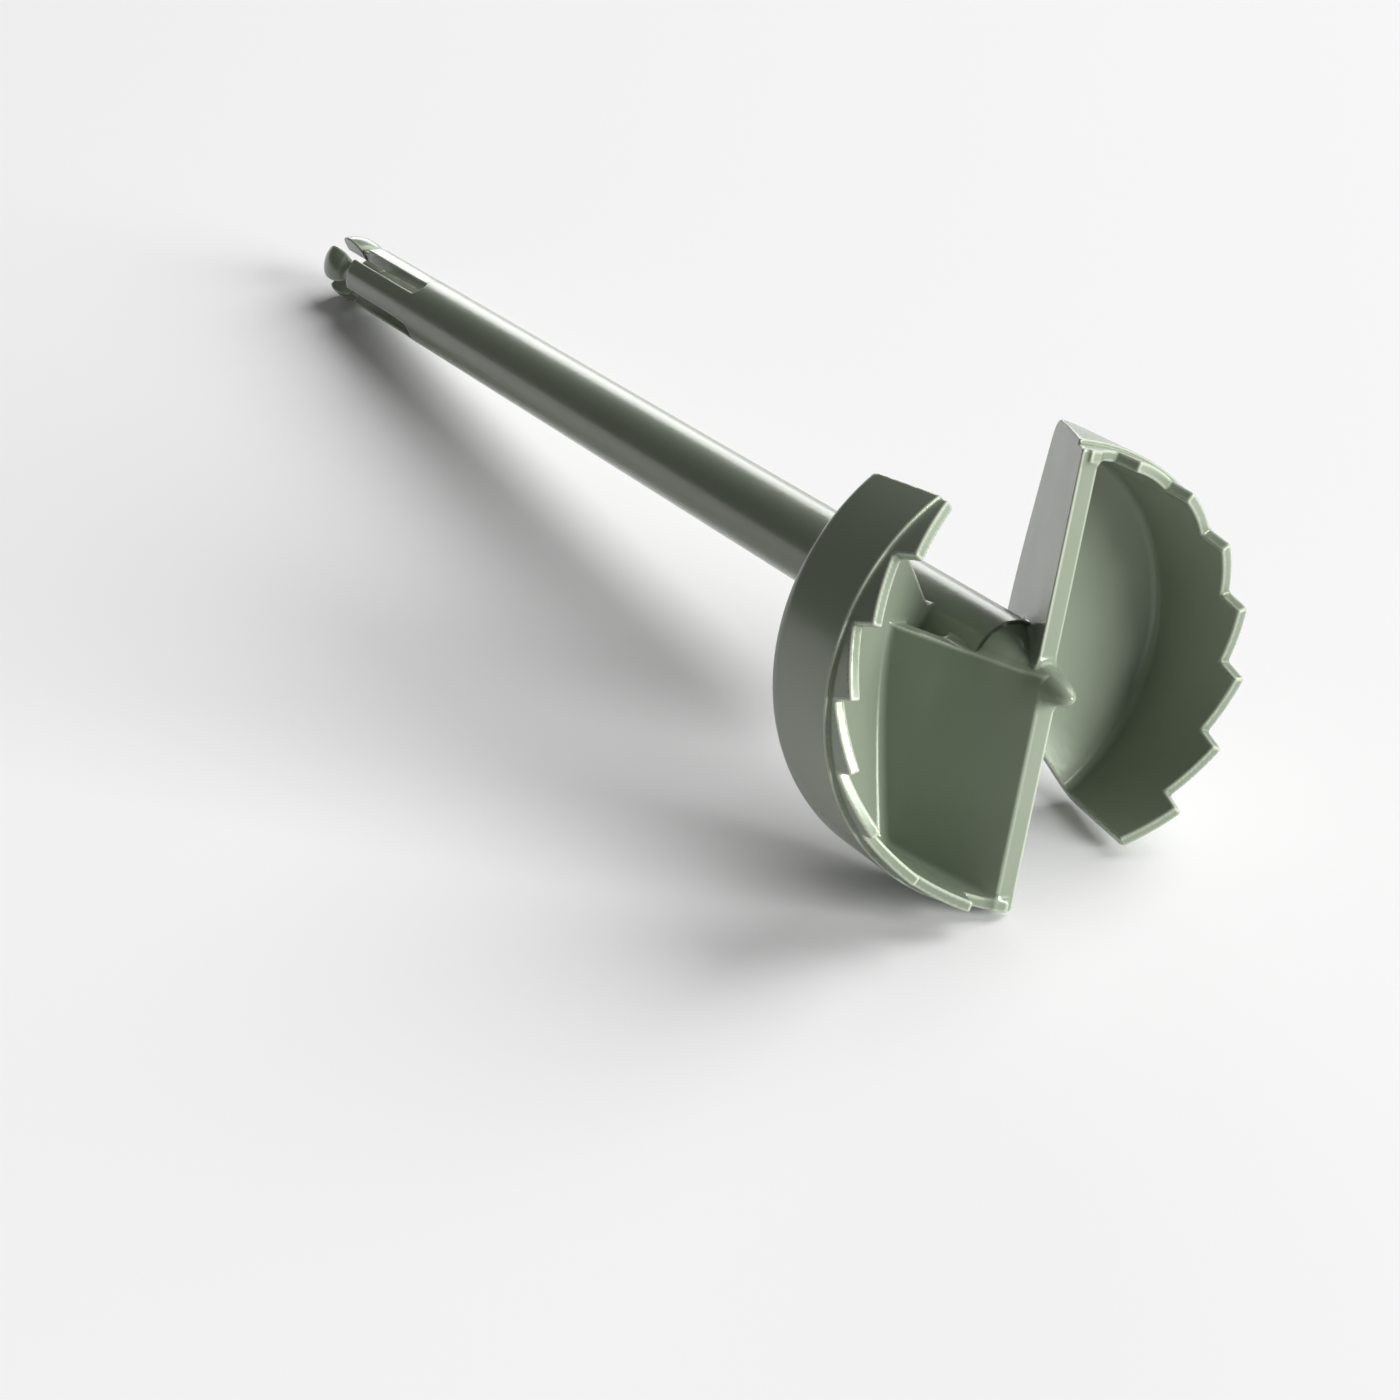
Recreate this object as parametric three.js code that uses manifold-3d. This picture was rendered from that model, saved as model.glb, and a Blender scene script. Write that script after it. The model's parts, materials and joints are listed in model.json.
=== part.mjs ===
// Apple hollowing cutter: a two-cup serrated boring head on a long tube with a four-finger snap end.
// Millimetres, +Z up. The tool lies on a table as it comes to rest: on the snap end and on two
// corners of the head, with its tip towards +X. The origin is under the middle of its bounding box.
// Each sub-part is drawn in the tool's own frame first: X runs along the axis from the tube's rear
// shoulder (x = 0) to the tip, and angles round the axis are counted from +Y towards +Z.

import * as THREE from 'three';
import { mergeVertices } from 'three/addons/utils/BufferGeometryUtils.js';
import Module from 'manifold-3d';

const wasm = await Module();
wasm.setup();

// ---- Driving dimensions ------------------------------------------------------------------------

const GAP = 0.3;                       // clearance between neighbouring pieces

// Tube and snap end
const TUBE_RADIUS = 5.2;
const BORE_RADIUS = 2.2;
const TUBE_FRONT = 199.5;              // x where the tube stops behind the tip piece
const SLOT_WIDTH = 2.6;
const SLOT_LENGTH = 27;                // from the shoulder to the round inner end of a slot
const SLOT_ANGLE = 36.6;               // angle of the first of four slots, degrees
const SHOULDER_BEVEL = 0.6;
const NECK_RADIUS = 4.1;
const NECK_LENGTH = 2.8;
const BARB_RADIUS = 5.3;
const BARB_LENGTH = 8.1;

// Head
const FLOOR_X = 191.5;                 // x of the trailing cup's floor where it meets the curved wall
const CUP_STAGGER = 2;                 // the leading cup sits this much nearer the tip
const CUP_RADIUS = 28;
const CUP_INNER_RADIUS = 26.1;
const TOOTH_INSET = 0.5;               // the toothed band is thinner than the wall below it
const LEDGE_HEIGHT = 12.5;             // heights above the floor's outer edge
const NOTCH_HEIGHT = 13.4;
const PEAK_HEIGHT = 16.8;
const RIM_HEIGHT = 15.1;               // rim of the blade
const FLOOR_THICKNESS = 1.6;
const FLOOR_CONE = 16;                 // the floor is a shallow cone, deepest at the tube, degrees
const BACK_CHAMFER = 1;
const TOOTH_PITCH = 18.6;              // degrees
const FIRST_NOTCH = -10.4;             // degrees from the blade's rim
const LAST_TOOTH = 6;                  // tooth -1 is the one that the blade cuts off
const TOOTH_RISE = 2.2;                // width of the steep flank, degrees
const OPEN_END_ANGLE = -138.3;         // degrees, where the wall and floor stop
const OPEN_END_LEAN = 6;               // the open end leans away from the blade towards the rim
const BLADE_LEAN = 24.2;               // blade against the tool's axis, degrees
const BLADE_WIDTH = 2.55;              // across the blade, square to the axis
const BLADE_RIM_OFFSET = -1.4;         // inner edge of the blade's rim, beside the axis
const BLADE_REACH = 1;                 // how far the blade's free edge passes the axis

// Tip
const SHANK_RADIUS = 1.9;
const SHANK_LENGTH = 24;
const NOSE_RADIUS = 2.3;
const NOSE_TAPER = 5.6;                // length over which the nose narrows from the tube's radius
const BULLET_LENGTH = 7.6;

// Facets
const ROUND_STEPS = 96;
const TUBE_STEPS = 48;
const BARB_STEPS = 8;
const BULLET_STEPS = 8;
const REACH = 60;                      // longer than any cup dimension, for cutting blocks

// ---- Derived values ----------------------------------------------------------------------------

const radians = THREE.MathUtils.degToRad;
const toothOuterRadius = CUP_RADIUS - TOOTH_INSET;
const leadingFloorX = FLOOR_X + CUP_STAGGER;
const floorHole = TUBE_RADIUS + GAP;
const coneSlope = Math.tan(radians(FLOOR_CONE));
const leanSlope = Math.tan(radians(BLADE_LEAN));
const fingerRoot = SLOT_LENGTH - SLOT_WIDTH / 2;
const tipStart = TUBE_FRONT + GAP;
const taperEnd = tipStart + NOSE_TAPER;
const barbEnd = -(NECK_LENGTH + BARB_LENGTH);
const barbMiddle = -(NECK_LENGTH + BARB_LENGTH / 2);
const chamferRadius = CUP_RADIUS - BACK_CHAMFER;

const floorHeight = (radius) => (radius - CUP_INNER_RADIUS) * coneSlope;
const backHeight = (radius) => floorHeight(radius) - FLOOR_THICKNESS;
const bladeInner = (height) => BLADE_RIM_OFFSET - (RIM_HEIGHT - height) * leanSlope;
const bladeOuter = (height) => bladeInner(height) + BLADE_WIDTH;
const backEdge = backHeight(chamferRadius) + BACK_CHAMFER;

// ---- Solid helpers -----------------------------------------------------------------------------

function toSolid(geometry) {
  geometry.deleteAttribute('normal');
  geometry.deleteAttribute('uv');
  const merged = mergeVertices(geometry, 1e-4);
  return new wasm.Manifold(new wasm.Mesh({
    numProp: 3,
    vertProperties: new Float32Array(merged.attributes.position.array),
    triVerts: new Uint32Array(merged.index.array),
  }));
}

function toGeometry(solid) {
  const mesh = solid.getMesh();
  const geometry = new THREE.BufferGeometry();
  geometry.setAttribute('position', new THREE.BufferAttribute(mesh.vertProperties, 3));
  geometry.setIndex(new THREE.BufferAttribute(mesh.triVerts, 1));
  geometry.computeVertexNormals();
  return geometry;
}

// A solid of revolution about X from [x, radius] points, given with the outer side towards +X.
function turned(points, steps = ROUND_STEPS) {
  const profile = points.map(([x, radius]) => new THREE.Vector2(radius, x));
  return toSolid(new THREE.LatheGeometry(profile, steps).rotateZ(-Math.PI / 2));
}

// A flat outline pushed out along the third of three axes; the first two carry the outline.
function pushed(outline, depth, axes, origin = [0, 0, 0]) {
  const shape = new THREE.Shape(outline.map(([a, b]) => new THREE.Vector2(a, b)));
  return toSolid(placed(new THREE.ExtrudeGeometry(shape, { depth, bevelEnabled: false }), axes, origin));
}

function placed(geometry, axes, origin) {
  const frame = new THREE.Matrix4().makeBasis(...axes);
  return geometry.applyMatrix4(frame.setPosition(...origin));
}

const X_AXIS = new THREE.Vector3(1, 0, 0);
const outwardAt = (angle) => new THREE.Vector3(0, Math.cos(radians(angle)), Math.sin(radians(angle)));
const acrossAt = (angle) => new THREE.Vector3(0, -Math.sin(radians(angle)), Math.cos(radians(angle)));

// Outlines in [y, z], pushed along X
const endView = [outwardAt(0), outwardAt(90), X_AXIS];
// Outlines in [x, z], pushed towards -Y
const sideView = [X_AXIS, outwardAt(90), outwardAt(180)];
// Outlines in [across, x], pushed outwards from the axis at one angle
const radialView = (angle) => [acrossAt(angle), X_AXIS, outwardAt(angle)];

// ---- Tube and snap fingers ---------------------------------------------------------------------

function slotCutter(angle) {
  const half = SLOT_WIDTH / 2;
  const shape = new THREE.Shape();
  shape.moveTo(-half, barbEnd - 1);
  shape.lineTo(half, barbEnd - 1);
  shape.lineTo(half, fingerRoot);
  shape.absarc(0, fingerRoot, half, 0, Math.PI, false);
  const geometry = new THREE.ExtrudeGeometry(shape, { depth: 2 * TUBE_RADIUS, bevelEnabled: false });
  return toSolid(placed(geometry, radialView(angle), [0, 0, 0]));
}

function allSlots() {
  return [0, 90, 180, 270]
    .map((turn) => slotCutter(SLOT_ANGLE + turn))
    .reduce((slots, slot) => slots.add(slot));
}

function driveTube() {
  const start = fingerRoot + GAP;
  return turned([
    [start, BORE_RADIUS],
    [start, TUBE_RADIUS],
    [TUBE_FRONT, TUBE_RADIUS],
    [TUBE_FRONT, BORE_RADIUS],
    [start, BORE_RADIUS],
  ], TUBE_STEPS).subtract(allSlots());
}

// The rounded top of the barbs, from the free end to the neck.
function barbCrown() {
  return Array.from({ length: BARB_STEPS + 1 }, (_, step) => {
    const turn = Math.PI * step / BARB_STEPS;
    const x = barbMiddle - Math.cos(turn) * BARB_LENGTH / 2;
    return [x, NECK_RADIUS + Math.sin(turn) * (BARB_RADIUS - NECK_RADIUS)];
  });
}

// One finger: a quarter of the slotted tube end, with a neck and a rounded barb beyond the shoulder.
function snapFinger(angle) {
  const collet = turned([
    [barbEnd, BORE_RADIUS],
    ...barbCrown(),
    [0, NECK_RADIUS],
    [0, TUBE_RADIUS - SHOULDER_BEVEL],
    [SHOULDER_BEVEL, TUBE_RADIUS],
    [fingerRoot, TUBE_RADIUS],
    [fingerRoot, BORE_RADIUS],
    [barbEnd, BORE_RADIUS],
  ], TUBE_STEPS);
  const far = 3 * TUBE_RADIUS;
  const quarter = pushed(
    [[0, 0], [far, -far], [far, far]],
    REACH,
    [outwardAt(angle), acrossAt(angle), X_AXIS],
    [barbEnd - 1, 0, 0],
  );
  return collet.subtract(allSlots()).intersect(quarter);
}

// ---- Cups --------------------------------------------------------------------------------------
// A cup is drawn at x = 0 on its floor's outer edge, with its blade's rim along +Y.

function cupShell() {
  return turned([
    [backHeight(floorHole), floorHole],
    [backHeight(chamferRadius), chamferRadius],
    [backEdge, CUP_RADIUS],
    [LEDGE_HEIGHT, CUP_RADIUS],
    [LEDGE_HEIGHT + TOOTH_INSET, toothOuterRadius],
    [PEAK_HEIGHT, toothOuterRadius],
    [PEAK_HEIGHT, CUP_INNER_RADIUS],
    [0, CUP_INNER_RADIUS],
    [floorHeight(floorHole), floorHole],
    [backHeight(floorHole), floorHole],
  ]);
}

// The space a cup may fill: behind the blade's outer face on the blade's side of the axis, and
// round to the open end on the other side.
function cupSector() {
  const besideBlade = pushed([
    [-REACH, -REACH],
    [REACH, -REACH],
    [REACH, bladeOuter(REACH)],
    [-REACH, bladeOuter(-REACH)],
  ], REACH, sideView, [0, REACH, 0]);
  const acrossAxis = pushed([
    [0, 0],
    [-REACH, 0],
    [-REACH, -REACH],
    [0, -REACH],
  ], 2 * REACH, endView, [-REACH, 0, 0]);
  const lean = Math.tan(radians(OPEN_END_LEAN));
  const middle = RIM_HEIGHT / 2;
  const beyondOpenEnd = pushed([
    [(middle + REACH) * lean, -REACH],
    [(middle - REACH) * lean, REACH],
    [-2 * REACH, REACH],
    [-2 * REACH, -REACH],
  ], REACH, radialView(OPEN_END_ANGLE));
  return besideBlade.add(acrossAxis).subtract(beyondOpenEnd);
}

// What is missing above one sawtooth: steep on the side that leads, sloping away behind it.
function toothGap(index) {
  const middle = FIRST_NOTCH - (index + 0.5) * TOOTH_PITCH;
  const half = CUP_RADIUS * Math.tan(radians(TOOTH_PITCH / 2));
  const rise = CUP_RADIUS * radians(TOOTH_RISE);
  return pushed([
    [half, NOTCH_HEIGHT],
    [half, REACH],
    [-half, REACH],
    [-half, NOTCH_HEIGHT],
    [half - rise, PEAK_HEIGHT],
  ], REACH, radialView(middle));
}

function blade() {
  const depth = -REACH / 3;
  const slab = pushed([
    [depth, bladeInner(depth)],
    [RIM_HEIGHT, bladeInner(RIM_HEIGHT)],
    [RIM_HEIGHT, bladeOuter(RIM_HEIGHT)],
    [depth, bladeOuter(depth)],
  ], CUP_RADIUS + BLADE_REACH, sideView, [0, CUP_RADIUS, 0]);
  const envelope = turned([
    [backHeight(0), 0],
    [backHeight(chamferRadius), chamferRadius],
    [backEdge, CUP_RADIUS],
    [LEDGE_HEIGHT, CUP_RADIUS],
    [LEDGE_HEIGHT + TOOTH_INSET, toothOuterRadius],
    [RIM_HEIGHT, toothOuterRadius],
    [RIM_HEIGHT, 0],
  ]);
  return slab.intersect(envelope);
}

// Clearance round the tube and the tip piece for a cup with its floor at one x.
function axisClearance(floorX) {
  const nose = NOSE_RADIUS + GAP;
  return turned([
    [-REACH / 2, 0],
    [-REACH / 2, floorHole],
    [tipStart - floorX, floorHole],
    [taperEnd - floorX, nose],
    [REACH / 2, nose],
    [REACH / 2, 0],
  ], TUBE_STEPS);
}

function cup(floorX) {
  let walls = cupShell().intersect(cupSector());
  for (let index = -1; index <= LAST_TOOTH; index += 1) {
    walls = walls.subtract(toothGap(index));
  }
  return walls.add(blade()).subtract(axisClearance(floorX));
}

// ---- Tip ---------------------------------------------------------------------------------------

// A plug in the tube's bore, a tapered nose and a bullet point.
function piercingTip() {
  const bullet = Array.from({ length: BULLET_STEPS + 1 }, (_, step) => {
    const along = step / BULLET_STEPS;
    return [taperEnd + along * BULLET_LENGTH, NOSE_RADIUS * Math.sqrt(1 - along ** 2)];
  });
  return turned([
    [tipStart - SHANK_LENGTH, 0],
    [tipStart - SHANK_LENGTH, SHANK_RADIUS],
    [tipStart, SHANK_RADIUS],
    [tipStart, TUBE_RADIUS],
    ...bullet,
  ], TUBE_STEPS);
}

// ---- Assembly ----------------------------------------------------------------------------------

function plastic(color, roughness = 0.28) {
  return new THREE.MeshStandardMaterial({ color, roughness, metalness: 0 });
}

function piece(name, solid, material) {
  const mesh = new THREE.Mesh(toGeometry(solid), material);
  mesh.name = name;
  return mesh;
}

function makeTool() {
  const tool = new THREE.Group();
  tool.add(piece('drive_tube', driveTube(), plastic(0x7d8873)));
  for (let index = 0; index < 4; index += 1) {
    const angle = SLOT_ANGLE + 45 + 90 * index;
    tool.add(piece(`snap_finger_${index + 1}`, snapFinger(angle), plastic(0x8a9580)));
  }
  const trailing = piece('trailing_cup', cup(FLOOR_X), plastic(0x86917b));
  trailing.position.x = FLOOR_X;
  const leading = piece('leading_cup', cup(leadingFloorX), plastic(0x7f8a75));
  leading.position.x = leadingFloorX;
  leading.rotation.x = Math.PI;
  tool.add(trailing, leading);
  tool.add(piece('piercing_tip', piercingTip(), plastic(0x98a38d)));
  return tool;
}

// The tool rests on three points: a barb, the back corner of the trailing cup's open end and the
// end of the leading blade just below its rim.
function restingPoints() {
  const halfBack = RIM_HEIGHT / 2 - backEdge;
  const openLean = THREE.MathUtils.radToDeg(halfBack * Math.tan(radians(OPEN_END_LEAN)) / CUP_RADIUS);
  const openAngle = 360 + OPEN_END_ANGLE + openLean;
  const bladeAngle = 180 + THREE.MathUtils.radToDeg(Math.asin(bladeOuter(LEDGE_HEIGHT) / CUP_RADIUS));
  const point = (x, radius, angle) => outwardAt(angle).multiplyScalar(radius).setX(x);
  return [
    point(barbMiddle, BARB_RADIUS, (openAngle + bladeAngle) / 2),
    point(FLOOR_X + backEdge, CUP_RADIUS, openAngle),
    point(leadingFloorX + LEDGE_HEIGHT, CUP_RADIUS, bladeAngle),
  ];
}

function layDown(tool) {
  const down = new THREE.Plane().setFromCoplanarPoints(...restingPoints()).normal;
  const up = down.clone().negate();
  const forward = X_AXIS.clone().projectOnPlane(up).normalize();
  const side = new THREE.Vector3().crossVectors(up, forward);
  tool.applyMatrix4(new THREE.Matrix4().makeBasis(forward, side, up).invert());

  const object = new THREE.Group();
  object.add(tool);
  object.updateMatrixWorld(true);
  const box = new THREE.Box3().setFromObject(object, true);
  const centre = box.getCenter(new THREE.Vector3());
  tool.position.set(-centre.x, -centre.y, -box.min.z);
  return object;
}

export default layDown(makeTool());
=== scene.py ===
"""Looks of the apple hollowing cutter: fine moulded surfaces, studio light and a camera.

Each piece is described by a distance field in millimetres, in the tool's own frame: x runs along the
axis from the tube's rear shoulder to the tip, and y and z square to it. A field takes x, y and z and
gives the distance to the surface, less than zero inside. skin() turns a field into a mesh.
"""

import json
import math

import bpy
import numpy as np
from mathutils import Matrix, Vector


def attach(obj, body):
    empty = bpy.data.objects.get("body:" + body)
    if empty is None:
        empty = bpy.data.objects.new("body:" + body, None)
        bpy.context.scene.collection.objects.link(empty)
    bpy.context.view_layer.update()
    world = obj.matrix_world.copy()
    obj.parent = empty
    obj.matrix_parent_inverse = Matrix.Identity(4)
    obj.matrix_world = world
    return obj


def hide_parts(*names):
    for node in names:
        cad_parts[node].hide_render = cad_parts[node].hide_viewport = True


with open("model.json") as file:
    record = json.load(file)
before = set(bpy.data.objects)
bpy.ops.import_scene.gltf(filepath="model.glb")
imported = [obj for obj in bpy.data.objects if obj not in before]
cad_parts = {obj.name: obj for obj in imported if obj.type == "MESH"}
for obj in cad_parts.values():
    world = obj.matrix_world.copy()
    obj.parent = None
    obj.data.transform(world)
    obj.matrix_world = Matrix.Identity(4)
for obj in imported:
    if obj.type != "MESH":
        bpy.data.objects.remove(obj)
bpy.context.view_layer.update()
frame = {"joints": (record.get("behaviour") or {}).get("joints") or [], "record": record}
ROOT = "head_and_tube"

# ---- Driving dimensions, millimetres and degrees ----

MM_PER_M = 1000

TUBE_RADIUS = 5.2
BORE_RADIUS = 2.2
TUBE_FRONT = 199.5

FINGERS = 4
FINGER_PITCH = 90
FINGER_ANGLE = 81.6          # middle of the first finger, from +y towards +z
SLOT_WIDTH = 2.6
SLOT_LENGTH = 27.0
BARB_GAP = 2.1               # gap between two neighbouring barbs
BARB_RADIUS = 5.3
BARB_LENGTH = 8.1
BARB_CROWN = 0.8             # how much lower a barb's ends are than its middle
NECK_RADIUS = 4.1
NECK_LENGTH = 2.8
FACET_ANGLE = 23.4           # middle of the flat on each side of a finger, from the finger's middle
FACET_HALF_WIDTH = 7.4
FACET_END = 22.0
FACET_RUNOUT = 0.1           # slope at which a flat's end rises to the round tube

FLOOR_X = 191.5              # x of the trailing cup's floor at its outer edge
CUP_STAGGER = 2.0            # how much nearer the tip the leading cup is
CUP_RADIUS = 28.0
CUP_INNER_RADIUS = 26.1
FLOOR_THICKNESS = 1.6
FLOOR_CONE = math.radians(16)
LEDGE_HEIGHT = 12.5          # heights are measured from the floor's outer edge towards the tip
RIM_HEIGHT = 15.1
TOOTH_OUTER_RADIUS = 27.5
NOTCH_HEIGHT = 13.4
PEAK_HEIGHT = 16.8
TOOTH_PITCH = 18.6
TOOTH_RISE = 2.2
FIRST_NOTCH = -10.4
OPEN_END_ANGLE = math.radians(-138.3)
OPEN_END_LEAN = math.radians(6)
BLADE_LEAN = math.radians(24.2)
BLADE_WIDTH = 2.55
BLADE_RIM_OFFSET = -1.4
BLADE_REACH = 1.0            # how far a blade's free edge passes the axis
SHELL_REACH = 0.5            # how far the shell beside a blade passes the axis
SHELL_OVERLAP = 0.3          # how far the rest of the shell passes the axis the other way
BURIED = 0.6                 # how far a cup reaches into the tube

NOSE_RADIUS = 2.3
NOSE_TAPER = 5.6             # length of the cone from the tube down to the bullet point
BULLET_OVERLAP = 0.6         # the bullet point starts this far inside the nose
APEX = 213.0                 # x of the point
GAP = 0.3                    # space between neighbouring CAD pieces; the visible ones meet in its middle

# Rounding of the moulding's edges and corners
EDGE_ROUND = 0.34
LEDGE_ROUND = 0.2
BACK_ROUND = 2.2
INNER_FILLET = 0.9
CORE_FILLET = 1.1
NOSE_ROUND = 1.0
TAPER_ROUND = 1.8
SHOULDER_ROUND = 1.6
SLOT_ROUND = 0.3
FACET_ROUND = 0.3
BARB_ROUND = 0.9
BARB_SIDE_ROUND = 0.45
BARB_FILLET = 0.5
NECK_FILLET = 0.4
BORE_ROUND = 0.1

# The thin edge of the fillet between a cup and the tube starts just above the tube and sinks under it
SKIRT_LIFT = 0.02
SKIRT_SLOPE = 0.1
SKIRT_REACH = 2.0

TIP_START = TUBE_FRONT + GAP
TAPER_END = TIP_START + NOSE_TAPER
BULLET_START = TAPER_END - BULLET_OVERLAP
BARB_END = -(NECK_LENGTH + BARB_LENGTH)
BARB_MIDDLE = BARB_END + BARB_LENGTH / 2
FINGER_ROOT = SLOT_LENGTH - SLOT_WIDTH / 2

# ---- Mesh grids, millimetres ----

CUP_STEP = 0.26
FINE_STEP = 0.15
TUBE_STEP = 0.2
COARSE_STEP = 3.0            # along the plain part of the tube
FINE_ZONE = 1.0              # fine cells reach this far past the slots and behind the tube's front
AIR = 0.3                    # empty space round a piece
BARB_END_AIR = 0.4
BARB_SIDE_AIR = 0.5
FINGER_LOWEST = 0.5          # a finger lies wholly above this y
CUP_AIR = 0.6
CUP_DEPTH = 8.6              # the cone's rear lies within this depth behind the floor's outer edge
CUP_SIDE_AIR = 1.5           # empty space past the tube on a cup's open side

SETTLE_ROUNDS = 4
SLOPE_REACH = 0.02
LEAST_SLOPE_SQUARED = 0.25
BEND_REACH = 0.12
BEND_SHIFTS = [sign * BEND_REACH * axis for axis in np.eye(3) for sign in (-1, 1)]
CELL_CORNERS = [(i, j, k) for i in (0, 1) for j in (0, 1) for k in (0, 1)]
CELLS_ROUND_EDGE = [(-1, -1), (0, -1), (0, 0), (-1, 0)]

# ---- Looks ----

DARK_GREEN = (0.185, 0.218, 0.162, 1)
LIGHT_GREEN = (0.225, 0.262, 0.200, 1)
# lighter green for the outer edges: part wear, part painted sheen
WORN_AND_SHEEN_GREEN = (0.50, 0.54, 0.44, 1)
GLINT_TINT = (0.86, 0.98, 0.78, 1)
REFRACTION = 1.5
COAT = 0.15
COAT_ROUGHNESS = 0.1
MOTTLE_SCALE = 60
MOTTLE_DETAIL = 4
SMEAR_SCALE = 140
SMEAR_DETAIL = 3
GRAIN_SCALE = 900
GRAIN_DETAIL = 2
GRAIN_STRENGTH = 0.06
GRAIN_HEIGHT = 0.0002        # metres
SMOOTHEST = 0.18
ROUGHEST = 0.28
WEAR_AND_SHEEN_START = 0.3             # bend, per millimetre, from which an edge is lightened with wear and painted sheen
WEAR_AND_SHEEN_FULL = 3.0
WEAR_AND_SHEEN_SHARE = 0.6             # share of the lighter edge colour, part wear and part painted sheen, on the sharpest edges

FLOOR_COLOUR = (0.90, 0.895, 0.90, 1)
FLOOR_ROUGHNESS = 0.9
FLOOR_GLOSS = 0.1

# ---- Studio, metres and degrees ----

FLOOR_SIZE = 12
LIGHT_AIM = Vector((0.05, 0, 0.02))
LIGHT_DISTANCE = 6.0
WORLD_STRENGTH = 0.08
CAMERA_AIM = (0.0823, -0.0323, 0.0234)
CAMERA_AZIMUTH = 25.62       # from +x towards -y
CAMERA_ELEVATION = 29.75
CAMERA_ROLL = 3.67
CAMERA_DISTANCE = 0.38
CAMERA_NEAREST = 0.01
CAMERA_LENS = 84.06          # millimetres, on a sensor of the usual width
CAMERA_SENSOR = 36


# ---- Distance fields ----

def soft_min(a, b, radius):
    """The smaller distance, with a fillet where the two surfaces meet."""
    near = np.maximum(radius - np.abs(a - b), 0.0) / radius
    return np.minimum(a, b) - near * near * radius / 4


def soft_max(a, b, radius):
    """The larger distance, with a rounded edge where the two surfaces meet."""
    return -soft_min(-a, -b, radius)


def core_field(x, radius):
    """The tube, the tapered nose and the bullet point, which both cups grow from."""
    slope = (TUBE_RADIUS - NOSE_RADIUS) / NOSE_TAPER
    taper = (radius - TUBE_RADIUS + (x - TIP_START) * slope) / math.hypot(1, slope)
    tapered = soft_max(radius - TUBE_RADIUS, taper, TAPER_ROUND)
    nose = soft_max(tapered, x - TAPER_END, NOSE_ROUND)
    along = np.maximum(x - BULLET_START, 0) / (APEX - BULLET_START)
    bullet = (np.hypot(radius / NOSE_RADIUS, along) - 1) * NOSE_RADIUS
    return soft_min(nose, bullet, NOSE_ROUND)


def slot_field(x, y, z):
    """The slots between the fingers, with a finger's middle along +y."""
    width = np.where(x < -NECK_LENGTH, BARB_GAP, SLOT_WIDTH)
    slots = []
    for index in range(FINGERS):
        angle = math.radians(FINGER_PITCH * (index + 0.5))
        across = -math.sin(angle) * y + math.cos(angle) * z
        outward = math.cos(angle) * y + math.sin(angle) * z
        side = np.hypot(across, np.maximum(x - FINGER_ROOT, 0)) - width / 2
        slots.append(np.maximum(side, -outward))
    return np.minimum.reduce(slots)


def finger_shaft(x, y, z, radius):
    """The tube's rear end with its round shoulder, and a flat on each side of the finger."""
    shaft = soft_max(radius - TUBE_RADIUS, -x, SHOULDER_ROUND)
    runout = np.maximum(x - FACET_END, 0) * FACET_RUNOUT
    for side in (-1, 1):
        angle = math.radians(side * FACET_ANGLE)
        facet = math.cos(angle) * y + math.sin(angle) * z
        limit = TUBE_RADIUS * math.cos(math.radians(FACET_HALF_WIDTH)) + runout
        shaft = soft_max(shaft, facet - limit, FACET_ROUND)
    return shaft


def finger_field(x, y, z):
    """A finger whose middle lies along +y: shaft, neck and barb between two slots."""
    radius = np.hypot(y, z)
    neck = np.maximum(radius - NECK_RADIUS, BARB_MIDDLE - x)
    crown = BARB_RADIUS - BARB_CROWN * ((x - BARB_MIDDLE) * 2 / BARB_LENGTH) ** 2
    barb = soft_max(radius - crown, np.abs(x - BARB_MIDDLE) - BARB_LENGTH / 2, BARB_ROUND)
    outside = soft_min(finger_shaft(x, y, z, radius), neck, NECK_FILLET)
    outside = soft_min(outside, barb, BARB_FILLET)
    tube = soft_max(outside, BORE_RADIUS - radius, EDGE_ROUND)
    side_round = np.where(x < 0, BARB_SIDE_ROUND, SLOT_ROUND)
    cut = soft_max(tube, -slot_field(x, y, z), side_round)
    return np.maximum(cut, np.abs(z) - y)


def tooth_top(height, angle):
    """Above the sawteeth: each one rises steeply from its notch and then slopes away."""
    scale = math.radians(1) * TOOTH_OUTER_RADIUS
    along = ((FIRST_NOTCH - angle) % TOOTH_PITCH) * scale
    pitch = TOOTH_PITCH * scale
    rise = TOOTH_RISE * scale
    fall = pitch - rise
    tall = PEAK_HEIGHT - NOTCH_HEIGHT
    above = height - NOTCH_HEIGHT

    def tooth(past_notch):
        steep = (above * rise - past_notch * tall) / math.hypot(rise, tall)
        gentle = (above * fall - (pitch - past_notch) * tall) / math.hypot(fall, tall)
        return soft_max(steep, gentle, EDGE_ROUND)

    pair = soft_min(tooth(along), tooth(along + pitch), EDGE_ROUND)
    return soft_min(pair, tooth(along - pitch), EDGE_ROUND)


def beside_blade(height, z):
    """How far a point lies past the blade's middle plane, measured along z."""
    return z - (BLADE_RIM_OFFSET + BLADE_WIDTH / 2 - (RIM_HEIGHT - height) * math.tan(BLADE_LEAN))


def blade_field(height, y, z):
    """The leaning blade, endless towards the wall."""
    slab = (np.abs(beside_blade(height, z)) - BLADE_WIDTH / 2) * math.cos(BLADE_LEAN)
    below_rim = soft_max(slab, height - RIM_HEIGHT, EDGE_ROUND)
    return soft_max(below_rim, -BLADE_REACH - y, EDGE_ROUND)


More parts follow.
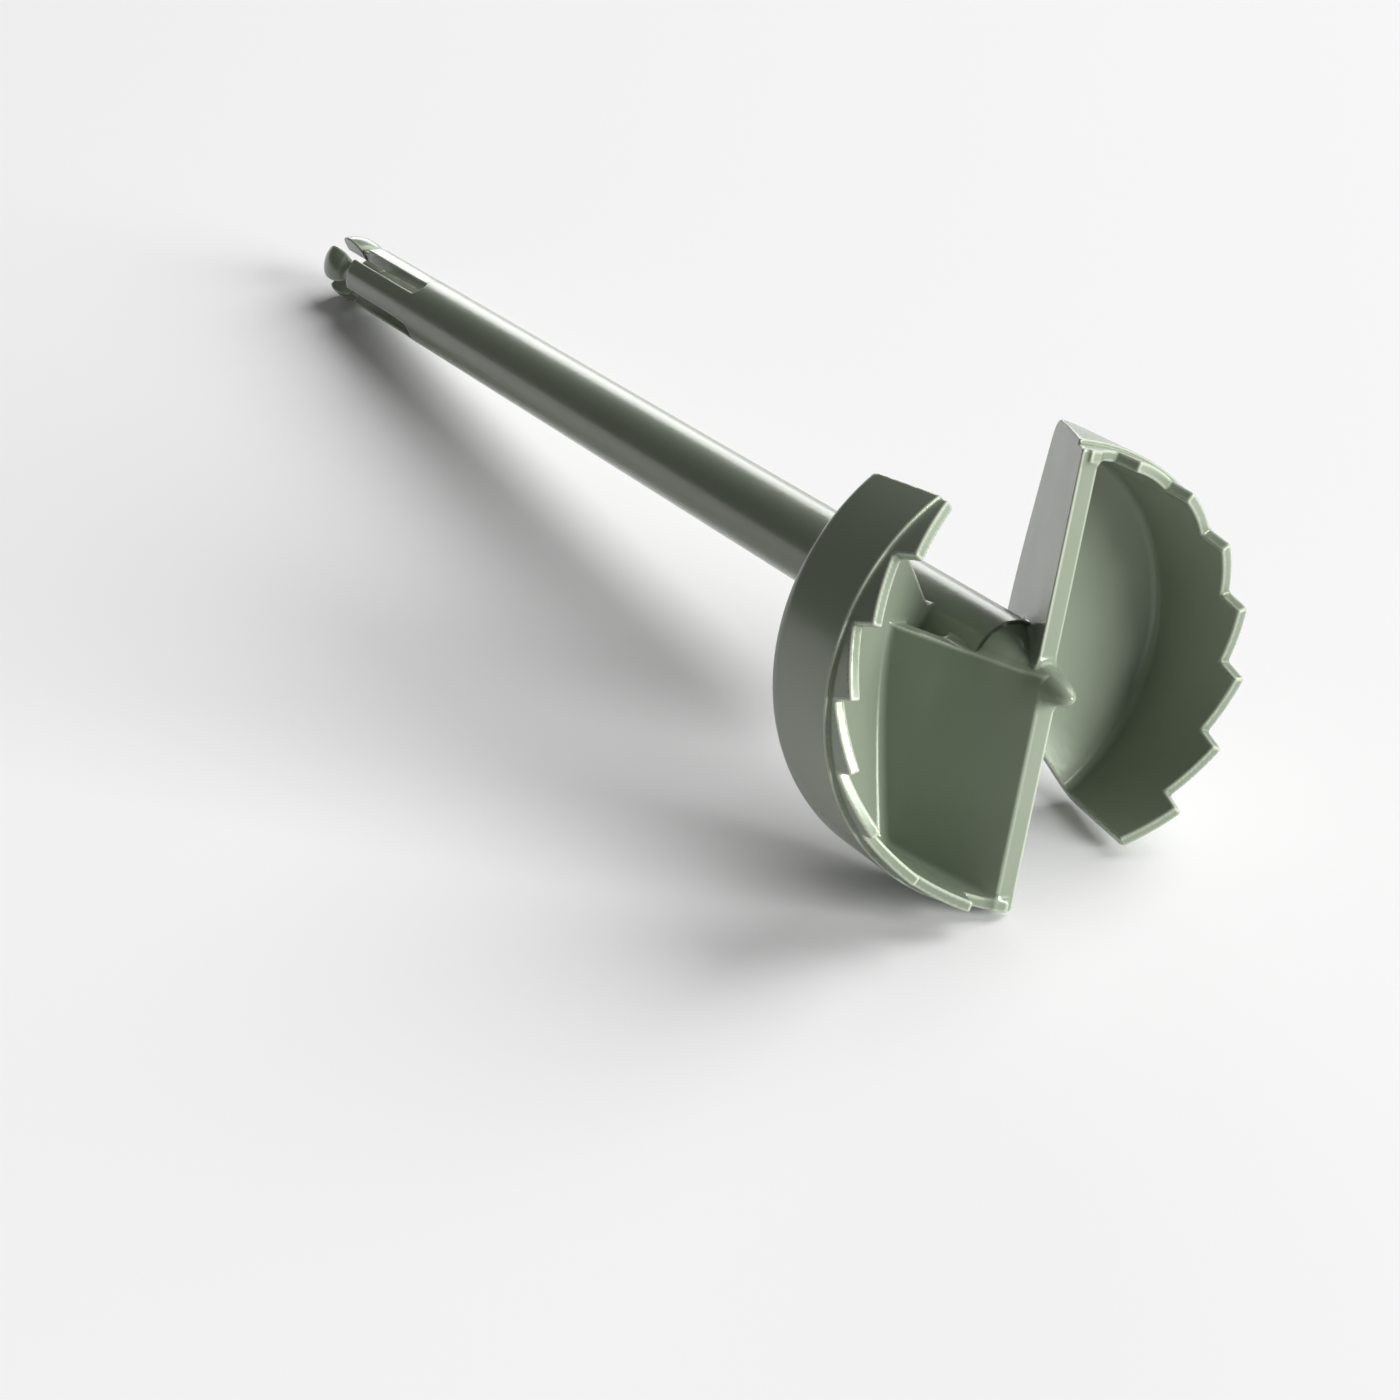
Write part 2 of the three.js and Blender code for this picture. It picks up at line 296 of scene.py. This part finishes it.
def sector_field(height, y, z):
    """The part of a turn that the cup's shell fills, from its blade round to its open end."""
    near_blade = np.maximum(-y - SHELL_REACH, beside_blade(height, z) * math.cos(BLADE_LEAN))
    across_axis = np.maximum(y - SHELL_OVERLAP, z)
    lean = (RIM_HEIGHT / 2 - height) * math.tan(OPEN_END_LEAN)
    past_end = math.cos(OPEN_END_ANGLE) * z - math.sin(OPEN_END_ANGLE) * y - lean
    outward = math.cos(OPEN_END_ANGLE) * y + math.sin(OPEN_END_ANGLE) * z
    open_end = np.minimum(-past_end, outward)
    return soft_max(np.minimum(near_blade, across_axis), open_end, EDGE_ROUND)


def cup_outside(height, radius, above_back):
    """The cup's rounded back and its side, which steps inwards below the teeth."""
    wide = soft_max(radius - CUP_RADIUS, -above_back, BACK_ROUND)
    lower = soft_max(wide, height - LEDGE_HEIGHT, LEDGE_ROUND)
    upper = soft_max(radius - TOOTH_OUTER_RADIUS, -above_back, BACK_ROUND)
    return soft_min(lower, upper, LEDGE_ROUND)


def grown_from_core(cup, core):
    """A cup with a fillet down to the core, and with nothing deep inside the core."""
    skirt = core - SKIRT_LIFT + SKIRT_SLOPE * np.clip(cup, 0, SKIRT_REACH)
    joined = soft_min(cup, skirt, CORE_FILLET)
    return np.maximum(np.maximum(joined, cup - CORE_FILLET), -core - BURIED)


def cup_field(floor_x):
    """A cup with its blade's rim along +y and its floor's outer edge at x = floor_x."""

    def field(x, y, z):
        height = x - floor_x
        radius = np.hypot(y, z)
        angle = np.degrees(np.arctan2(z, y))
        cone = (radius - CUP_INNER_RADIUS) * math.tan(FLOOR_CONE)
        above_floor = (height - cone) * math.cos(FLOOR_CONE)
        above_back = above_floor + FLOOR_THICKNESS * math.cos(FLOOR_CONE)

        wall = soft_max(CUP_INNER_RADIUS - radius, tooth_top(height, angle), EDGE_ROUND)
        shell = soft_min(wall, above_floor, INNER_FILLET)
        shell = soft_max(shell, sector_field(height, y, z), EDGE_ROUND)
        with_blade = soft_min(shell, blade_field(height, y, z), INNER_FILLET)
        cup = soft_max(with_blade, cup_outside(height, radius, above_back), EDGE_ROUND)
        return grown_from_core(cup, core_field(x, radius))

    return field


# ---- Meshes ----

def spaced(low, high, step):
    """Even grid positions from low to high, as near to the wanted step as they fit."""
    return np.linspace(low, high, max(2, round((high - low) / step) + 1))


def gradient(field, points):
    """Direction in which the distance grows at each point."""
    slope = np.empty_like(points)
    for axis in range(3):
        shift = np.zeros(3)
        shift[axis] = SLOPE_REACH
        slope[:, axis] = field(*(points + shift).T) - field(*(points - shift).T)
    return slope / (2 * SLOPE_REACH)


def settle(field, points):
    """Moves points onto the surface where the distance is zero."""
    for _ in range(SETTLE_ROUNDS):
        slope = gradient(field, points)
        squared = np.maximum((slope * slope).sum(1), LEAST_SLOPE_SQUARED)
        points = points - slope * (field(*points.T) / squared)[:, None]
    return points


def bends(field, points):
    """How sharply the surface bends at each point: above zero on outer edges, below in fillets."""
    around = sum(field(*(points + shift).T) for shift in BEND_SHIFTS)
    return (around - len(BEND_SHIFTS) * field(*points.T)) / BEND_REACH**2


def at_corner(values, corner):
    """The grid values at one corner of every cell."""
    part = tuple(slice(start, start + n - 1) for start, n in zip(corner, values.shape))
    return values[part]


def number_cells(inside):
    """A number for each cell that the surface passes through, and -1 for every other cell."""
    count = sum(at_corner(inside, corner).astype(np.int8) for corner in CELL_CORNERS)
    mixed = (count > 0) & (count < len(CELL_CORNERS))
    number = np.full(mixed.shape, -1)
    number[mixed] = np.arange(mixed.sum())
    return number


def cell_points(grid, value, mixed):
    """The mean of the places where the surface crosses the edges of each mixed cell."""
    total = np.zeros((mixed.sum(), 3))
    crossings = np.zeros(mixed.sum())
    for start in CELL_CORNERS:
        for axis in range(3):
            if start[axis]:
                continue
            end = tuple(1 if n == axis else start[n] for n in range(3))
            first = at_corner(value, start)[mixed]
            last = at_corner(value, end)[mixed]
            crossed = (first < 0) != (last < 0)
            share = np.where(crossed, first / np.where(first == last, 1, first - last), 0)
            for n in range(3):
                low = at_corner(grid[n], start)[mixed]
                high = at_corner(grid[n], end)[mixed]
                total[:, n] += np.where(crossed, low + (high - low) * share, 0)
            crossings += crossed
    return total / crossings[:, None]


def quads_across(inside, number, axis):
    """A quad round each grid edge along one axis that the surface crosses, facing outwards."""
    across = [n for n in range(3) if n != axis]
    layers = np.moveaxis(inside, axis, 0)
    edges = np.argwhere(layers[1:] != layers[:-1])
    edges = edges[(edges[:, 1] > 0) & (edges[:, 2] > 0)]
    ring = []
    for steps in CELLS_ROUND_EDGE:
        cell = np.empty((len(edges), 3), int)
        cell[:, axis] = edges[:, 0]
        for side in (0, 1):
            cell[:, across[side]] = edges[:, side + 1] + steps[side]
        ring.append(number[tuple(cell.T)])
    quads = np.stack(ring, 1)
    leaves = layers[tuple(edges.T)]
    turned = ~leaves if axis == 1 else leaves
    quads[~turned] = quads[~turned][:, ::-1]
    return quads


def net(field, xs, ys, zs):
    """Corners and quads of the zero surface of a field, from its values on a grid."""
    grid = np.meshgrid(xs, ys, zs, indexing="ij")
    value = field(*grid)
    inside = value < 0
    number = number_cells(inside)
    points = cell_points(grid, value, number >= 0)
    quads = [quads_across(inside, number, axis) for axis in range(3)]
    return points, np.concatenate(quads)


def tool_to_row():
    """The matrix from the tool's frame, in millimetres, to the row's frame, in metres."""
    joints = frame["joints"]
    pivots = [Vector(joint["pos_m"]) for joint in joints]
    centre = sum(pivots, Vector()) / len(pivots)
    forward = -Vector(frame["record"]["mounts"][0]["axis"]).normalized()
    across = Vector(joints[0]["axis"]).normalized()
    outward = across.cross(forward)
    turn = math.radians(FINGER_ANGLE)
    side_y = math.cos(turn) * outward - math.sin(turn) * across
    side_z = math.sin(turn) * outward + math.cos(turn) * across
    matrix = Matrix((forward, side_y, side_z)).transposed().to_4x4()
    matrix = Matrix.Translation(centre - forward * FINGER_ROOT / MM_PER_M) @ matrix
    return matrix @ Matrix.Scale(1 / MM_PER_M, 4)


TO_ROW = tool_to_row()


def add_mesh(name, points, quads, normals, bend):
    """A smooth object with the given normals and an attribute of how sharply it bends, which lightens
    its edges with wear and painted sheen.
    """
    mesh = bpy.data.meshes.new(name)
    mesh.from_pydata(points.tolist(), [], quads.tolist())
    mesh.shade_smooth()
    mesh.normals_split_custom_set_from_vertices(normals.tolist())
    mesh.attributes.new("bend", "FLOAT", "POINT").data.foreach_set("value", bend.astype(np.float32))
    piece = bpy.data.objects.new(name, mesh)
    bpy.context.scene.collection.objects.link(piece)
    return piece


def skin(name, field, grid, turn=0.0, seamless=None):
    """A smooth mesh of a field, turned about the tool's axis and placed in the row's frame.

    seamless is the same field without the end faces that touch a neighbour; it gives the normals.
    """
    points, quads = net(field, *grid)
    points = settle(field, points)
    seen = seamless or field
    matrix = np.array(TO_ROW @ Matrix.Rotation(math.radians(turn), 4, "X"))
    placed = points @ matrix[:3, :3].T + matrix[:3, 3]
    normals = gradient(seen, points) @ matrix[:3, :3].T
    normals /= np.linalg.norm(normals, axis=1)[:, None]
    return add_mesh(name, placed, quads, normals, bends(seen, points))


# ---- Pieces ----

def make_tube():
    start = FINGER_ROOT + GAP / 2
    end = TUBE_FRONT + GAP / 2

    def wall(x, y, z):
        radius = np.hypot(y, z)
        ring = soft_max(radius - TUBE_RADIUS, BORE_RADIUS - radius, BORE_ROUND)
        return soft_max(ring, -slot_field(x, y, z), SLOT_ROUND)

    def field(x, y, z):
        return np.maximum(wall(x, y, z), np.maximum(start - x, x - end))

    slots = spaced(start - AIR, SLOT_LENGTH + FINE_ZONE, FINE_STEP)
    plain = spaced(SLOT_LENGTH + FINE_ZONE, end - FINE_ZONE, COARSE_STEP)[1:]
    front = spaced(end - FINE_ZONE, end + AIR, FINE_STEP)[1:]
    side = spaced(-TUBE_RADIUS - AIR, TUBE_RADIUS + AIR, TUBE_STEP)
    grid = np.concatenate([slots, plain, front]), side, side
    return skin("drive_tube_moulding", field, grid, FINGER_ANGLE, wall)


def make_finger(index):
    root = FINGER_ROOT + GAP / 2

    def field(x, y, z):
        return np.maximum(finger_field(x, y, z), x - root)

    xs = spaced(BARB_END - BARB_END_AIR, root + AIR, FINE_STEP)
    ys = spaced(FINGER_LOWEST, BARB_RADIUS + BARB_SIDE_AIR, FINE_STEP)
    zs = spaced(-BARB_RADIUS, BARB_RADIUS, FINE_STEP)
    name = f"snap_finger_{index + 1}_moulding"
    return skin(name, field, (xs, ys, zs), FINGER_ANGLE + FINGER_PITCH * index, finger_field)


def make_cup(name, floor_x, turn):
    xs = spaced(floor_x - CUP_DEPTH, floor_x + PEAK_HEIGHT + CUP_AIR, CUP_STEP)
    ys = spaced(-CUP_RADIUS - CUP_AIR, CUP_RADIUS + CUP_AIR, CUP_STEP)
    zs = spaced(-CUP_RADIUS - CUP_AIR, TUBE_RADIUS + CUP_SIDE_AIR, CUP_STEP)
    return skin(name, cup_field(floor_x), (xs, ys, zs), turn)


def make_tip():
    start = TUBE_FRONT + GAP / 2

    def point(x, y, z):
        return core_field(x, np.hypot(y, z))

    def field(x, y, z):
        return np.maximum(point(x, y, z), start - x)

    xs = spaced(start - AIR, APEX + AIR, FINE_STEP)
    side = spaced(-TUBE_RADIUS - AIR, TUBE_RADIUS + AIR, FINE_STEP)
    return skin("piercing_tip_moulding", field, (xs, side, side), 0, point)


# ---- Materials ----

def noise(tree, scale, detail):
    """Soft random values that follow the object."""
    place = tree.nodes.new("ShaderNodeTexCoord")
    texture = tree.nodes.new("ShaderNodeTexNoise")
    texture.inputs["Scale"].default_value = scale
    texture.inputs["Detail"].default_value = detail
    tree.links.new(place.outputs["Object"], texture.inputs["Vector"])
    return texture.outputs["Fac"]


def mottled_green(tree):
    """The plastic's own colour, which drifts between two close greens."""
    mix = tree.nodes.new("ShaderNodeMix")
    mix.data_type = "RGBA"
    mix.inputs["A"].default_value = DARK_GREEN
    mix.inputs["B"].default_value = LIGHT_GREEN
    tree.links.new(noise(tree, MOTTLE_SCALE, MOTTLE_DETAIL), mix.inputs["Factor"])
    return mix.outputs["Result"]


def wear_and_sheen_on_edges(tree, colour):
    """The colour, lightened where the surface bends outwards: part wear and part painted sheen on the
    edges.
    """
    bend = tree.nodes.new("ShaderNodeAttribute")
    bend.attribute_name = "bend"
    wear_and_sheen = tree.nodes.new("ShaderNodeMapRange")
    wear_and_sheen.inputs["From Min"].default_value = WEAR_AND_SHEEN_START
    wear_and_sheen.inputs["From Max"].default_value = WEAR_AND_SHEEN_FULL
    wear_and_sheen.inputs["To Max"].default_value = WEAR_AND_SHEEN_SHARE
    tree.links.new(bend.outputs["Fac"], wear_and_sheen.inputs["Value"])
    mix = tree.nodes.new("ShaderNodeMix")
    mix.data_type = "RGBA"
    mix.inputs["B"].default_value = WORN_AND_SHEEN_GREEN
    tree.links.new(wear_and_sheen.outputs["Result"], mix.inputs["Factor"])
    tree.links.new(colour, mix.inputs["A"])
    return mix.outputs["Result"]


def uneven_gloss(tree):
    """Roughness that drifts a little over the surface."""
    rough = tree.nodes.new("ShaderNodeMapRange")
    rough.inputs["To Min"].default_value = SMOOTHEST
    rough.inputs["To Max"].default_value = ROUGHEST
    tree.links.new(noise(tree, SMEAR_SCALE, SMEAR_DETAIL), rough.inputs["Value"])
    return rough.outputs["Result"]


def fine_grain(tree):
    """Normals of a very slightly uneven skin."""
    bump = tree.nodes.new("ShaderNodeBump")
    bump.inputs["Strength"].default_value = GRAIN_STRENGTH
    bump.inputs["Distance"].default_value = GRAIN_HEIGHT
    tree.links.new(noise(tree, GRAIN_SCALE, GRAIN_DETAIL), bump.inputs["Height"])
    return bump.outputs["Normal"]


def green_plastic():
    material = bpy.data.materials.new("sage_green_plastic")
    material.use_nodes = True
    tree = material.node_tree
    shader = tree.nodes["Principled BSDF"]
    shader.inputs["IOR"].default_value = REFRACTION
    shader.inputs["Specular Tint"].default_value = GLINT_TINT
    shader.inputs["Coat Weight"].default_value = COAT
    shader.inputs["Coat Roughness"].default_value = COAT_ROUGHNESS
    # the base colour is lighter on outer edges, part wear and part painted sheen
    tree.links.new(wear_and_sheen_on_edges(tree, mottled_green(tree)), shader.inputs["Base Color"])
    tree.links.new(uneven_gloss(tree), shader.inputs["Roughness"])
    tree.links.new(fine_grain(tree), shader.inputs["Normal"])
    return material


def floor_material():
    material = bpy.data.materials.new("pale_floor")
    material.use_nodes = True
    shader = material.node_tree.nodes["Principled BSDF"]
    shader.inputs["Base Color"].default_value = FLOOR_COLOUR
    shader.inputs["Roughness"].default_value = FLOOR_ROUGHNESS
    shader.inputs["Specular IOR Level"].default_value = FLOOR_GLOSS
    return material


# ---- Studio ----

def make_floor():
    bpy.ops.mesh.primitive_plane_add(size=FLOOR_SIZE)
    floor = bpy.context.object
    floor.name = "floor"
    floor.data.materials.append(floor_material())


def softbox(name, direction, width, height, power):
    """A soft light far along one direction from the tool, facing it."""
    light = bpy.data.lights.new(name, "AREA")
    light.shape = "ELLIPSE"
    light.size = width
    light.size_y = height
    light.energy = power
    lamp = bpy.data.objects.new(name, light)
    bpy.context.scene.collection.objects.link(lamp)
    way = Vector(direction).normalized()
    lamp.location = LIGHT_AIM + way * LIGHT_DISTANCE
    lamp.rotation_euler = way.to_track_quat("Z", "Y").to_euler()


def make_lights():
    softbox("key", direction=(0.05, 0.75, 0.75), width=6.0, height=6.0, power=345)
    softbox("front", direction=(1.0, 0.45, 0.30), width=3.0, height=3.0, power=500)
    softbox("backdrop", direction=(-0.88, 0.47, 0.15), width=4.0, height=2.0, power=70)


def make_world():
    world = bpy.data.worlds.new("studio")
    world.use_nodes = True
    background = world.node_tree.nodes["Background"]
    background.inputs["Color"].default_value = (1, 1, 1, 1)
    background.inputs["Strength"].default_value = WORLD_STRENGTH
    bpy.context.scene.world = world
    bpy.context.scene.view_settings.view_transform = "Standard"


def make_camera():
    turn = math.radians(CAMERA_AZIMUTH)
    rise = math.radians(CAMERA_ELEVATION)
    level = math.cos(rise)
    back = Vector((math.cos(turn) * level, -math.sin(turn) * level, math.sin(rise)))
    data = bpy.data.cameras.new("camera")
    data.lens = CAMERA_LENS
    data.sensor_width = CAMERA_SENSOR
    data.clip_start = CAMERA_NEAREST
    camera = bpy.data.objects.new("camera", data)
    bpy.context.scene.collection.objects.link(camera)
    camera.location = Vector(CAMERA_AIM) + back * CAMERA_DISTANCE
    roll = Matrix.Rotation(-math.radians(CAMERA_ROLL), 3, "Z").to_quaternion()
    camera.rotation_euler = (back.to_track_quat("Z", "Y") @ roll).to_euler()
    bpy.context.scene.camera = camera


# ---- Assembly ----

def dress(piece, body, node, material):
    """Gives a piece its material and its place in the frame."""
    piece.data.materials.append(material)
    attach(piece, body)
    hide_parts(node)


plastic = green_plastic()
dress(make_tube(), ROOT, "drive_tube", plastic)
for finger in range(FINGERS):
    dress(make_finger(finger), f"finger_{finger + 1}", f"snap_finger_{finger + 1}", plastic)
dress(make_cup("trailing_cup_moulding", FLOOR_X, 0), ROOT, "trailing_cup", plastic)
dress(make_cup("leading_cup_moulding", FLOOR_X + CUP_STAGGER, 180), ROOT, "leading_cup", plastic)
dress(make_tip(), ROOT, "piercing_tip", plastic)
make_floor()
make_lights()
make_world()
make_camera()
